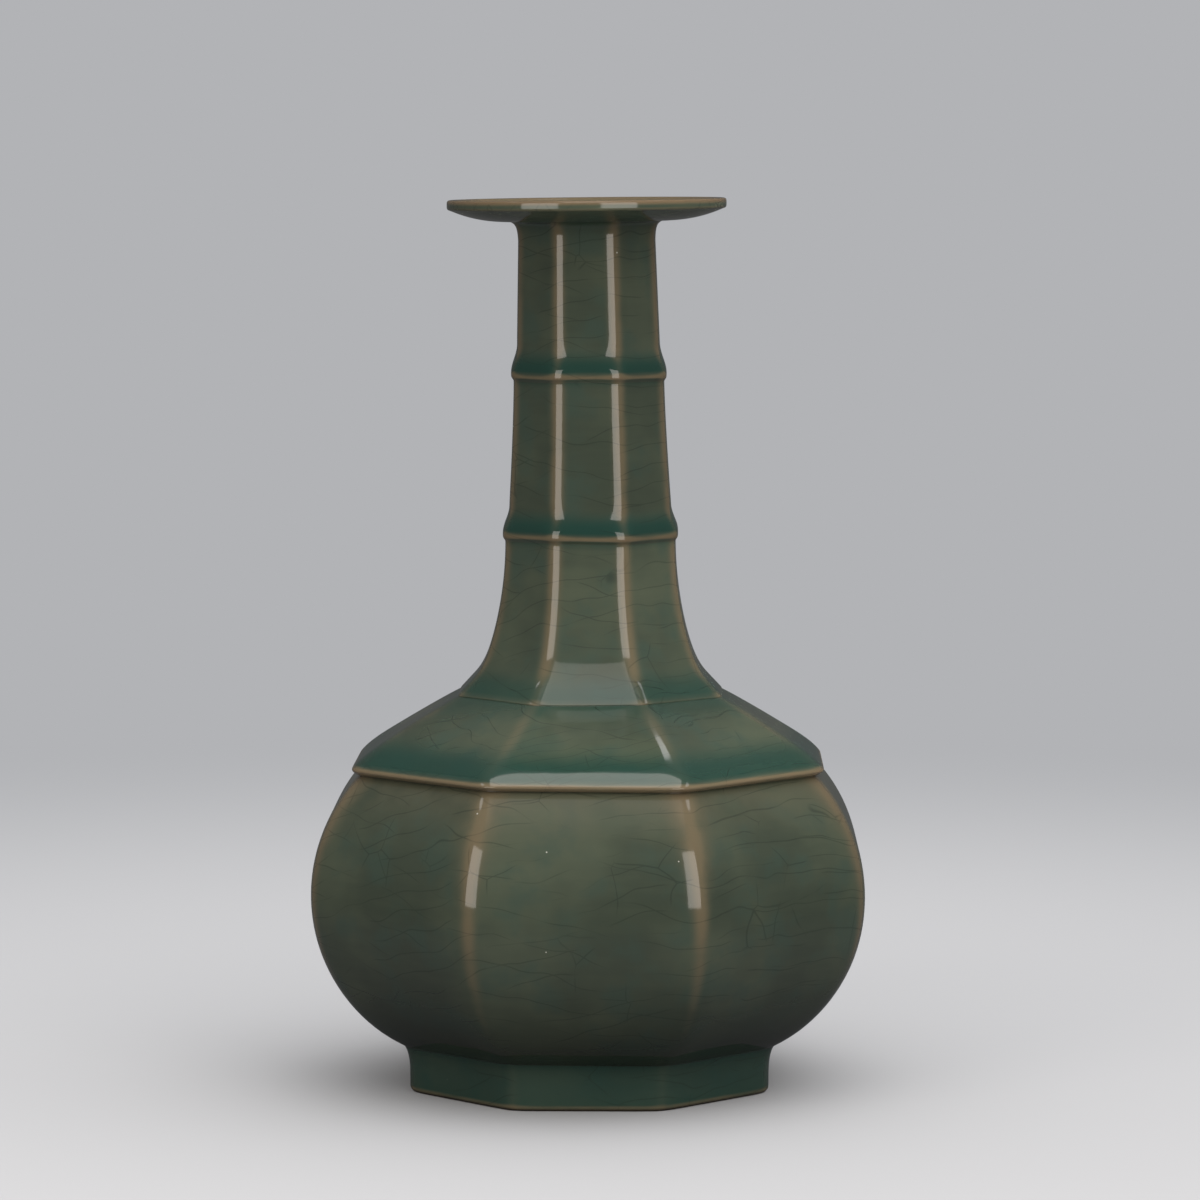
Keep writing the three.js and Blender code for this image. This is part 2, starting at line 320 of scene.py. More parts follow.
# Each curl under the mouth adds swell * exp(-distance below the mouth / its height)
def neckUpperOutline():
    curlFoot = seam["mouth"] - neckUpper["curlFoot"]
    waist = neckUpper["waistFlat"]
    wall = jointOutline(neckUpper, flatOf("neck_upper"), seam["upperJoint"], waist, curlFoot)
    below = np.linspace(neckUpper["curlFoot"], 0, curvePoints["curl"])
    flat = waist + sum(
        swell * (np.exp(-below / height) - math.exp(-neckUpper["curlFoot"] / height))
        for swell, height in neckUpper["curls"]
    )
    curl = np.stack((flat, seam["mouth"] - below), axis=1)
    return np.concatenate((wall, curl[1:]))


# The whole outside is one outline, rounded as one glaze coat, and then cut at the seams
outlines = {
    "foot": footOutline(),
    "bellyLower": bellyLowerOutline(),
    "bellyUpper": bellyUpperOutline(),
    "shoulder": shoulderOutline(),
    "neckLower": neckLowerOutline(),
    "neckMiddle": neckMiddleOutline(),
    "neckUpper": neckUpperOutline(),
}
wholeOutline = np.concatenate(list(outlines.values()))
repeated = np.hypot(*np.diff(wholeOutline, axis=0).T) < 1e-6
wholeOutline = wholeOutline[np.concatenate(([True], ~repeated))]
coat = soften(wholeOutline, mesh["glazeSoftness"])
lengths = np.concatenate(([0], np.cumsum(np.hypot(*np.diff(wholeOutline, axis=0).T))))


# Length along the outline at which a section's own outline ends
def endOf(name):
    end = outlines[name][-1]
    nearest = np.argmin(np.hypot(*(wholeOutline - end).T))
    return lengths[nearest]


spans = {}
start = 0.0
for sectionName in outlines:
    spans[sectionName] = (start, min(endOf(sectionName), coat["along"][-1]))
    start = spans[sectionName][1]
print("stage: outline rounded,", round(float(coat["along"][-1])), "mm long")


# Quads of a grid of rows and columns, closed round its columns and, if asked, round its rows
def gridFaces(rows, columns, closed):
    i = np.arange(rows if closed else rows - 1)[:, None]
    j = np.arange(columns)[None, :]
    ahead = (i + 1) % rows
    beside = (j + 1) % columns
    corners = (i * columns + j, i * columns + beside, ahead * columns + beside, ahead * columns + j)
    return np.stack(np.broadcast_arrays(*corners), axis=-1).reshape(-1, 4)


def addObject(name, data):
    thing = bpy.data.objects.new(name, data)
    bpy.context.scene.collection.objects.link(thing)
    return thing


# A mesh object from points in millimetres, faces and point attributes
def makePiece(name, points, faces, attributes):
    shape = bpy.data.meshes.new(name)
    shape.from_pydata((points * millimetre).tolist(), [], [list(face) for face in faces])
    for key, values in attributes.items():
        attribute = shape.attributes.new(key, "FLOAT", "POINT")
        attribute.data.foreach_set("value", values.astype(np.float32).ravel())
    shape.shade_smooth()
    shape.set_sharp_from_angle(angle=mesh["sharpAngle"])
    piece = addObject(name, shape)
    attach(piece, "root")
    return piece


# Angles round the octagon from the middle of a side: half a side * (gather * sin(quarter turn *
# share) + (1 - gather) * share)
shares = np.linspace(-1, 1, mesh["columnsPerSide"], endpoint=False)
gather = mesh["cornerGather"]
sideOffsets = halfSide * (gather * np.sin(math.pi / 2 * shares) + (1 - gather) * shares)
offsets = np.tile(sideOffsets, mesh["sides"])
sideMiddles = -math.pi / 2 + 2 * halfSide * np.arange(mesh["sides"])
angles = np.repeat(sideMiddles, mesh["columnsPerSide"]) + offsets


# Points of a section of (flat, height) rows carried round the octagon, rows first
def octagonPoints(section, rounding=1.0):
    radius = octagonRadius(section[:, 0], offsets, rounding)
    x = radius * np.cos(angles)
    y = radius * np.sin(angles)
    z = np.broadcast_to(section[:, 1:], x.shape)
    return np.stack(settle(x, y, z), axis=-1), radius


# How thin or deep the glaze lies: thin on the convex bends of the outline and on the vertical
# edges, deep in the hollows over the ridges
glaze = {
    "thinBend": (0.1, 0.42),  # bends at which the glaze starts to thin and lies thinnest, per mm
    "haloWidth": 2.4,  # times the brown edge's width
    "poolRise": 1.1,  # above a ridge, before the pool is deep
    "poolHides": 0.7,  # how much of an edge's thin glaze a pool covers
    "edgeDrains": 0.25,  # and how much shallower the pool is there
    "roundingRise": (0.0, 5.0),  # above a ridge, where the glaze begins to fill out the corners
    "roundingEnd": (11.0, 3.0),  # and where it ends
    "rounding": 0.7,  # how much rounder it leaves them
    "lowest": (0.0, 46.0),  # heights at which the glaze is darkest, as deeper run-down glaze and painted shade, and where that fades out
    "insidePool": 0.3,
    "poolShelf": 0.3,  # share of its reach over which a pool stays deep
}

# For each section: brown of its ridge and how far it spreads; brown and width of its vertical edges and
# thinness of its sides, each at its foot and at its top; depth of the pool over its ridge, where it begins
# and how far it reaches; and depth and reach of the darkening down from its top, glaze pooled at the joint
# and painted shade under the part above. Lengths are along the outline. The upper belly's sides grow paler
# towards its top, as thinner glaze and as painted light from above.
coats = {
    "foot": {
        "ridge": (0.3, 0.85),
        "edges": (0.3, 0.15),
        "widths": (1.6, 1.6),
        "sides": (0.0, 0.0),
        "pool": (0.62, 1.4, 60.0),
        "topPoolAndShade": (0.7, 9.0),
    },
    "bellyLower": {
        "ridge": (1.0, 0.85),
        "edges": (0.0, 0.42),
        "widths": (1.8, 2.0),
        "sides": (0.0, 0.0),
        "pool": (0.0, 0.0, 5.0),
        "topPoolAndShade": (0.0, 1.0),
    },
    "bellyUpper": {
        "ridge": (1.0, 0.85),
        "edges": (0.42, 0.45),
        "widths": (2.0, 2.0),
        # paler towards the top: thinner glaze and painted light from above
        "sides": (0.0, 0.24),
        "pool": (0.0, 0.0, 5.0),
        "topPoolAndShade": (0.0, 1.0),
    },
    "shoulder": {
        "ridge": (0.58, 0.55),
        "edges": (0.2, 0.26),
        "widths": (2.6, 2.6),
        "sides": (0.0, 0.0),
        "pool": (0.8, 4.4, 17.0),
        "topPoolAndShade": (0.5, 11.0),
    },
    "neckLower": {
        "ridge": (0.1, 0.85),
        "edges": (0.35, 0.45),
        "widths": (2.2, 1.8),
        "sides": (0.0, 0.0),
        "pool": (0.65, 1.0, 12.0),
        "topPoolAndShade": (0.3, 2.0),
    },
    "neckMiddle": {
        "ridge": (1.0, 0.8),
        "edges": (0.45, 0.45),
        "widths": (1.7, 1.7),
        "sides": (0.0, 0.0),
        "pool": (0.88, 2.3, 8.6),
        "topPoolAndShade": (0.3, 2.0),
    },
    "neckUpper": {
        "ridge": (1.0, 0.8),
        "edges": (0.45, 0.45),
        "widths": (1.6, 1.6),
        "sides": (0.0, 0.0),
        "pool": (0.88, 2.3, 8.2),
        "topPoolAndShade": (0.25, 5.0),
    },
}


def smoothStep(low, high, values):
    share = np.clip((values - low) / (high - low), 0, 1)
    return share**2 * (3 - 2 * share)


# Thinness on the bends at lengths along the outline
def bendThinness(places, spread):
    bend = np.convolve(coat["bend"], bellCurve(spread), "same")
    return np.interp(places, coat["along"], smoothStep(*glaze["thinBend"], bend))


# Glaze attributes on a section's outside rows, with painted shade under the part above and painted light on
# the upper belly's top
def coatAttributes(name, places, radius):
    first, last = spans[name]
    look = coats[name]
    edges = np.interp(places, [first, last], look["edges"])[:, None]
    widths = np.interp(places, [first, last], look["widths"])[:, None]
    fromCorner = (halfSide - np.abs(offsets))[None, :] * radius
    onEdge = np.exp(-((fromCorner / widths) ** 2))
    nearEdge = (onEdge + np.exp(-((fromCorner / widths / glaze["haloWidth"]) ** 2))) / 2
    brown, spread = look["ridge"]
    onRidge = brown * bendThinness(places, spread)[:, None]
    # Pale sides: thin glaze, and on the upper belly's top also painted light from above
    thinAndLitSides = np.interp(places, [first, last], look["sides"])[:, None]
    depth, poolFoot, reach = look["pool"]
    above = places - first - poolFoot
    pool = depth * smoothStep(reach, reach * glaze["poolShelf"], above)
    pool = pool * smoothStep(0, glaze["poolRise"], above)
    # Darkening down from the top: glaze pooled at the joint and painted shade under the part above
    topDarkening, topReach = look["topPoolAndShade"]
    pool = np.maximum(pool, topDarkening * smoothStep(topReach, 0, last - places))[:, None]
    bared = edges * nearEdge * (1 - glaze["poolHides"] * pool)
    thin = 1 - (1 - onRidge) * (1 - bared) * (1 - thinAndLitSides)
    return thin, pool * (1 - glaze["edgeDrains"] * onEdge)


# How much rounder the corners are where the glaze fills them, in the swell over a joint
def cornerRounding(name, places):
    if name not in ("neckMiddle", "neckUpper"):
        return np.ones(len(places))
    above = places - spans[name][0] - coats[name]["pool"][1]
    filled = smoothStep(*glaze["roundingRise"], above) * smoothStep(*glaze["roundingEnd"], above)
    return 1 + glaze["rounding"] * filled


# How the wall's inside is made. The neck's wall is thicker at its base, and the slope under the
# shoulder is taken over the last points of the belly's outline.
insideWall = {"softness": 2.5, "rowGap": 2.4, "clear": 0.6, "baseExtra": 1.6, "slopePoints": 20}


# The wall's inside: the outline made much softer, moved in by the wall's thickness along its
# normal, and kept clear of the section's ends
def insideRows(name, wall, low, high):
    soft = soften(outlines[name], insideWall["softness"])
    places = np.arange(insideWall["rowGap"] / 2, soft["along"][-1], insideWall["rowGap"])
    turn = np.interp(places, soft["along"], soft["turn"])
    rows = pointsAt(soft, places) + wall * np.stack((-np.sin(turn), np.cos(turn)), axis=1)
    clear = insideWall["clear"]
    return rows[(rows[:, 1] > low + clear) & (rows[:, 1] < high - clear)][::-1]


# Tongues and rebates of the luted joints, as in the CAD
luting = {"tongueHeight": 3.0, "tongueThickness": 2.0, "slipGap": 0.3}


# One section of the wall. Its ends meet its neighbours' face to face, and its tongue stands in
# the rebate of the section above.
def wallSection(name, node, slot, wall, insideFoot, insideTop, hasRebate):
    first, last = spans[name]
    places = rowPlaces(coat, first, last)
    outside = pointsAt(coat, places)
    foot = outlines[name][0, 1]
    top = outlines[name][-1, 1]
    thickness = luting["tongueThickness"]
    gap = luting["slipGap"]
    tongueTop = top + luting["tongueHeight"]
    cap = [
        (insideTop + thickness + gap, top),
        (insideTop + thickness, top),
        (insideTop + thickness, tongueTop),
        (insideTop, tongueTop),
        (insideTop, top),
    ]
    innerFoot = foot + luting["tongueHeight"] + gap if hasRebate else foot
    base = [(insideFoot, innerFoot)]
    if hasRebate:
        base += [(insideFoot + thickness + gap, innerFoot), (insideFoot + thickness + gap, foot)]
    section = np.concatenate((outside, cap, insideRows(name, wall, innerFoot, top), base))
    rounding = np.ones(len(section))
    rounding[: len(places)] = cornerRounding(name, places)
    points, radius = octagonPoints(section, rounding)
    thin = np.zeros(radius.shape)
    pool = np.full(radius.shape, glaze["insidePool"])
    thin[: len(places)], pool[: len(places)] = coatAttributes(name, places, radius[: len(places)])
    # Darker towards the foot: deeper run-down glaze and painted shade
    deep = np.repeat(smoothStep(*glaze["lowest"][::-1], section[:, 1]), len(angles))
    faces = gridFaces(*radius.shape, closed=True)
    attributes = {"thinGlaze": thin, "glazePoolAndShade": pool, "deepGlazeAndShade": deep}
    piece = makePiece(name, points.reshape(-1, 3), faces, attributes)
    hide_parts(node)
    print("stage:", name, "has", len(faces), "faces")
    return piece


# Flats of the bore at each seam, shared by the tongue below and the rebate above. At the
# shoulder the wall's thickness is measured square to the belly's slope there.
slopeEnds = bellyUpperOutline()[[-insideWall["slopePoints"], -1]]
slopeStep = slopeEnds[1] - slopeEnds[0]
inside = {
    "foot": footRing["inside"] + bellyLower["seat"],
    "belly": flatOf("belly_lower") - bellyLower["wall"],
    "shoulder": bellyUpper["topFlat"] - bellyUpper["wall"] * math.hypot(*slopeStep) / slopeStep[1],
    "neckBase": flatOf("neck_lower") - ridge["step"] - neckLower["wall"] - insideWall["baseExtra"],
    "lowerJoint": flatOf("neck_middle") - ridge["step"] - neckMiddle["wall"],
    "upperJoint": flatOf("neck_upper") - ridge["step"] - neckUpper["wall"],
    "mouth": neckUpper["waistFlat"] - neckUpper["wall"],
}

# Each section: its CAD node, its slot, its wall and the seams at its foot and at its top
sections = {
    "bellyLower": ("belly_lower", "belly_glaze", bellyLower["wall"], "foot", "belly"),
    "bellyUpper": ("belly_upper", "belly_glaze", bellyUpper["wall"], "belly", "shoulder"),
    "shoulder": ("shoulder", "shoulder_glaze", shoulder["wall"], "shoulder", "neckBase"),
    "neckLower": ("neck_lower", "neck_glaze", neckLower["wall"], "neckBase", "lowerJoint"),
    "neckMiddle": ("neck_middle", "neck_glaze", neckMiddle["wall"], "lowerJoint", "upperJoint"),
    "neckUpper": ("neck_upper", "neck_glaze", neckUpper["wall"], "upperJoint", "mouth"),
}
wallPieces = {}
for sectionName, (node, slot, wall, below, above) in sections.items():
    bores = (inside[below], inside[above])
    wallPieces[sectionName] = wallSection(sectionName, node, slot, wall, *bores, below != "foot")


# Foot ring: its outline, then the ledge that the floor slab lies on
def makeFootRing():
    first, last = spans["foot"]
    places = rowPlaces(coat, first, last)
    outside = pointsAt(coat, places)
    ledgeFlat = footRing["inside"] + footRing["ledge"]
    ledge = [(ledgeFlat, seam["foot"]), (ledgeFlat, footRing["slabFoot"])]
    points, radius = octagonPoints(np.concatenate((outside, ledge)))
    thin = np.zeros(radius.shape)
    pool = np.full(radius.shape, footRing["insidePool"])
    bare = np.zeros(radius.shape)
    count = len(places)
    thin[:count], pool[:count] = coatAttributes("foot", places, radius[:count])
    bare[:count] = smoothStep(*footRing["bareTop"], outside[:, 1])[:, None]
    attributes = {"thinGlaze": thin, "glazePoolAndShade": pool, "bareClay": bare}
    piece = makePiece("footRing", points.reshape(-1, 3), gridFaces(*radius.shape, closed=True), attributes)
    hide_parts("foot_ring")
    return piece


footPiece = makeFootRing()

baseSlab = {
    "flat": flatOf("base_slab"),
    "foot": footOf("base_slab"),
    "top": seam["foot"],
    "round": 0.8,
    "crown": 0.5,  # how far the middle of its underside stands in
    "rows": 14,
    "pool": 0.25,
}


# Floor slab: from the middle of the underside out to the edge and back to the middle on top,
# with a crown of depth * (1 - share out ^ 2) below. A triangle fan closes each pole.
def makeBaseSlab():
    share = np.linspace(0, 1, baseSlab["rows"] + 1)[1:]
    flat = baseSlab["flat"]
    foot = baseSlab["foot"]
    top = baseSlab["top"]
    edgeRound = baseSlab["round"]
    under = np.stack((share * (flat - edgeRound), foot + baseSlab["crown"] * (1 - share**2)), 1)
    over = np.stack((share[::-1] * (flat - edgeRound), np.full(len(share), top)), 1)
    rim = [(flat, foot + edgeRound), (flat, top - edgeRound)]
    points, radius = octagonPoints(np.concatenate((under, rim, over)))
    rows, columns = radius.shape
    poleHeights = np.array([foot + baseSlab["crown"], top])
    poles = np.stack(settle(np.zeros(2), np.zeros(2), poleHeights), -1)
    ring = np.arange(columns)
    ahead = (ring + 1) % columns
    last = (rows - 1) * columns
    footFan = np.stack((np.full(columns, rows * columns), ahead, ring), 1)
    topFan = np.stack((np.full(columns, rows * columns + 1), last + ring, last + ahead), 1)
    faces = gridFaces(rows, columns, closed=False).tolist() + footFan.tolist() + topFan.tolist()
    count = rows * columns + 2
    attributes = {"thinGlaze": np.zeros(count), "glazePoolAndShade": np.full(count, baseSlab["pool"])}
    piece = makePiece("baseSlab", np.concatenate((points.reshape(-1, 3), poles)), faces, attributes)
    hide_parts("base_slab")
    return piece


slabPiece = makeBaseSlab()

mouthPlate = {
    "radius": flatOf("mouth_plate"),
    "edge": 2.9,
    "edgeRound": 0.8,
    "lipWidth": 2.2,
    "lipFall": 3.2,
    "dishDepth": 1.4,
    "boreRound": 1.2,
    "softness": 0.3,
    "seatSpare": 0.3,  # the seat is so much wider than the neck's corners
    "columns": 288,
    "thinBend": (0.1, 0.7),  # bends at which its glaze starts to thin and lies thinnest, per mm
    "thinBelow": 0.25,  # how much of that shows under the rim
    "rimFade": (1.2, 2.3),  # over the edge's foot, where the rim's brown begins and is full
    "rimBrown": 0.6,
    "poolAndShadeWidth": 4.0,  # reach of the pooled glaze and painted shade, along the underside from the neck
}


# Points on a curve from start to end pulled towards one or two handles (a Bezier curve)
def curve(*handles):
    t = np.linspace(0, 1, curvePoints["plate"])[:, None]
    order = len(handles) - 1
    terms = (math.comb(order, k) * (1 - t) ** (order - k) * t**k * np.array(p) for k, p in enumerate(handles))
    return sum(terms)


# Mouth plate: thrown round, so its section of (radius, height) is carried round a circle
def makeMouthPlate():
    radius = mouthPlate["radius"]
    edgeRound = mouthPlate["edgeRound"]
    rimFoot = vaseTop - mouthPlate["edge"]
    neckTop = pointsAt(coat, [spans["neckUpper"][1]])[0, 0]
    seat = float(octagonRadius([neckTop], np.array([halfSide]))[0, 0]) + mouthPlate["seatSpare"]
    tongueOut = inside["mouth"] + luting["tongueThickness"]
    rebate = float(octagonRadius([tongueOut], np.array([halfSide]))[0, 0]) + luting["slipGap"]
    roof = seam["mouth"] + luting["tongueHeight"] + luting["slipGap"]
    lip = radius - mouthPlate["lipWidth"]
    dish = lip - mouthPlate["lipFall"]
    half = mouthPlate["lipFall"] / 2
    floor = vaseTop - mouthPlate["dishDepth"]
    bore = inside["mouth"]
    boreRound = mouthPlate["boreRound"]
    exposed = np.concatenate(
        (
            [(rebate, seam["mouth"])],
            curve((seat, seam["mouth"]), ((seat + radius) / 2, seam["mouth"]), (radius - edgeRound, rimFoot)),
            curve((radius - edgeRound, rimFoot), (radius, rimFoot), (radius, rimFoot + edgeRound))[1:],
            curve((radius, vaseTop - edgeRound), (radius, vaseTop), (radius - edgeRound, vaseTop)),
            curve((lip, vaseTop), (lip - half, vaseTop), (dish + half, floor), (dish, floor)),
            curve((bore + boreRound, floor), (bore, floor), (bore, floor - boreRound)),
            [(bore, roof)],
        )
    )
    soft = soften(exposed, mouthPlate["softness"])
    places = rowPlaces(soft, 0, soft["along"][-1])
    section = np.concatenate((pointsAt(soft, places), [(rebate, roof)]))
    angle = 2 * math.pi * np.arange(mouthPlate["columns"]) / mouthPlate["columns"]
    x = section[:, :1] * np.cos(angle)
    y = section[:, :1] * np.sin(angle)
    z = np.broadcast_to(section[:, 1:], x.shape)
    points = np.stack(settle(x, y, z), axis=-1)
    bend = np.interp(places, soft["along"], soft["bend"])
    fromNeck = np.concatenate((places, [0]))
    rimHeight = smoothStep(*mouthPlate["rimFade"], section[:, 1] - rimFoot)
    shown = mouthPlate["thinBelow"] + (1 - mouthPlate["thinBelow"]) * rimHeight
    thin = np.concatenate((smoothStep(*mouthPlate["thinBend"], bend), [0])) * shown
    thin = np.maximum(thin, mouthPlate["rimBrown"] * rimHeight * (section[:, 0] > dish))
    # Glaze pooled in the corner under the plate, and painted shade there
    pool = np.exp(-np.abs(fromNeck - (seat - rebate)) / mouthPlate["poolAndShadeWidth"])
    attributes = {
        "thinGlaze": np.repeat(thin, mouthPlate["columns"]),
        "glazePoolAndShade": np.repeat(pool, mouthPlate["columns"]),
    }
    faces = gridFaces(len(section), mouthPlate["columns"], closed=True)
    piece = makePiece("mouthPlate", points.reshape(-1, 3), faces, attributes)
    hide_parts("mouth_plate")
    return piece


platePiece = makeMouthPlate()
print("stage: foot, floor and mouth made")


# sRGB hex colour turned to linear red, green, blue and alpha
def linearColour(code):
    parts = [int(code[i : i + 2], 16) / 255 for i in (1, 3, 5)]
    linear = [c / 12.92 if c <= 0.04045 else ((c + 0.055) / 1.055) ** 2.4 for c in parts]
    return (*linear, 1.0)


# A new tree of nodes, empty, in a material or a world
def clearTree(owner):
    owner.use_nodes = True
    owner.node_tree.nodes.clear()
    return owner.node_tree


# Adds a shader node with its settings, and its inputs as values or as sockets to link. Gives
# back one of its outputs.
def addNode(tree, kind, inputs=None, output=0, **settings):
    node = tree.nodes.new("ShaderNode" + kind)
    for key, value in settings.items():
        setattr(node, key, value)
    for key, value in (inputs or {}).items():
        if isinstance(value, bpy.types.NodeSocket):
            tree.links.new(value, node.inputs[key])
        else:
            node.inputs[key].default_value = value
    return node.outputs[output] if node.outputs else None


# Inputs for a Map Range: a value, where it starts and ends, and what it then becomes
def rampFrom(value, start, end, first=0.0, second=1.0):
    return {"Value": value, 1: start, 2: end, 3: first, 4: second}


smooth = {"interpolation_type": "SMOOTHSTEP"}
product = {"operation": "MULTIPLY", "use_clamp": True}
larger = {"operation": "MAXIMUM", "use_clamp": True}

# Sizes are real ones in millimetres
stoneware = {
    "noises": {  # size and detail of each pattern
        "shade": (34.0, 3.0),  # slow changes of the glaze's depth
        "tint": (11.0, 3.0),  # olive and bluish patches
        "uneven": (11.0, 4.0),  # how worn the brown of the edges is
        "drift": (28.0, 2.0),  # how fast the crackle lines wander
        "breaks": (22.0, 2.0),  # which stretches of them show
        "waves": (11.0, 2.0),
        "peel": (1.4, 2.0),
        "runs": (22.0, 3.0),  # faint level runs
    },
    "runFlatness": 6.0,  # so many times wider than they are tall
    "runShare": 0.2,
    "driftReach": 11.0,
    "crackleGaps": (8.0, 5.6),  # between the lines of each of two nearly level sets
    "crackleCell": 15.0,  # the few steeper lines that join them
    "crackleWidth": 0.26,
    "crackleDepth": 0.4,
    "speckGap": 9.0,
    "speckSize": 0.3,
    "waveHeight": 0.00005,  # metres
    "peelHeight": 0.000001,
    "ior": 1.6,
    "roughness": (0.065, 0.085),
    "clayRoughness": 0.8,
    "deepAndShadeShare": 0.75,  # how much the run-down glaze and a painted shade darken the belly's foot
}

# Where each pattern or attribute starts and stops to count, and what it then becomes
ramps = {
    "shade": (0.35, 0.65),
    "runs": (0.3, 0.7),
    "tint": (0.45, 0.7, 0.0, 0.6),
    "worn": (0.2, 0.6, 0.75, 1.15),
    "edge": (0.1, 0.5),
    "thin": (0.4, 0.95),
    "joinsShown": (0.54, 0.62),
    "linesShown": (0.43, 0.56),
    "crackleShown": (0.2, 0.8, stoneware["crackleDepth"], 0.0),
    "specksShown": (0.55, 0.6),
    "gloss": (0.3, 0.7, *stoneware["roughness"]),
}

glazeColours = {
    "light": "#4c5344",
    "dark": "#3b4338",
    "cool": "#3a4a41",
    # glaze pooled in hollows, and painted shade under the ridges, the belly and the plate
    "pool": "#173932",
    # towards the foot: deeper run-down glaze and painted shade
    "deep": "#20281f",
    "thin": "#6f5f4a",
    "edge": "#665d49",
    "crackle": "#1f2822",
    "speck": "#b9b9ae",
    "clay": "#382b20",
}

# Which way is across each of the two sets of crackle lines, on the upright walls, on the sloping
# shoulder and on the level plate
leans = {
    "wall": ((0.18, -0.14, 1.0), (-0.24, 0.2, 1.0)),
    "shoulder": ((0.34, -0.26, 1.9), (-0.46, 0.38, 1.9)),
    "plate": ((1.0, 0.3, 0.4), (-0.35, 1.0, 0.4)),
}


# Crazing: each set's lines lie where (place . lean + drift) / gap is a whole number. They are
# broken up, the edges of a few large cells join them, and they fade where the glaze is thin.
def crazing(tree, place, noises, thin, crackleLeans):
    look = stoneware
    wander = noises["drift"].node.outputs["Color"]
    drift = {0: wander, 1: (look["driftReach"],) * 3, 2: place}
    drifted = addNode(tree, "VectorMath", drift, operation="MULTIPLY_ADD")
    breaks = {0: noises["breaks"].node.outputs["Color"]}
    breaks = addNode(tree, "SeparateColor", breaks).node.outputs
    cells = {"Vector": drifted, "Scale": 1 / look["crackleCell"]}
    fromLine = addNode(tree, "TexVoronoi", cells, "Distance", feature="DISTANCE_TO_EDGE")
    sets = [(fromLine, look["crackleWidth"] / look["crackleCell"], breaks[0], ramps["joinsShown"])]
    for lean, gap, stretch in zip(crackleLeans, look["crackleGaps"], breaks[1:]):
        toLine = {0: drifted, 1: lean}
        across = addNode(tree, "VectorMath", toLine, "Value", operation="DOT_PRODUCT")
        fromLine = addNode(tree, "Math", {0: across, 1: gap / 2}, operation="PINGPONG")
        sets.append((fromLine, look["crackleWidth"], stretch, ramps["linesShown"]))
    lines = 0.0
    for fromLine, width, stretch, shown in sets:
        line = addNode(tree, "MapRange", rampFrom(fromLine, 0.0, width, 1.0, 0.0), **smooth)
        shown = addNode(tree, "MapRange", rampFrom(stretch, *shown), **smooth)
        line = addNode(tree, "Math", {0: line, 1: shown}, **product)
        lines = addNode(tree, "Math", {0: lines, 1: line}, **larger)
    shown = addNode(tree, "MapRange", rampFrom(thin, *ramps["crackleShown"]), **smooth)
    return addNode(tree, "Math", {0: lines, 1: shown}, **product)


# Small pale specks in the middles of a few cells
def specks(tree, place):
    cells = {"Vector": place, "Scale": 1 / stoneware["speckGap"]}
    fromMiddle = addNode(tree, "TexVoronoi", cells, "Distance")
    size = stoneware["speckSize"] / stoneware["speckGap"]
    dots = addNode(tree, "MapRange", rampFrom(fromMiddle, size / 2, size, 1.0, 0.0), **smooth)
    chance = addNode(tree, "SeparateColor", {0: fromMiddle.node.outputs["Color"]})
    rare = addNode(tree, "MapRange", rampFrom(chance, *ramps["specksShown"]), **smooth)
    return addNode(tree, "Math", {0: dots, 1: rare}, **product)


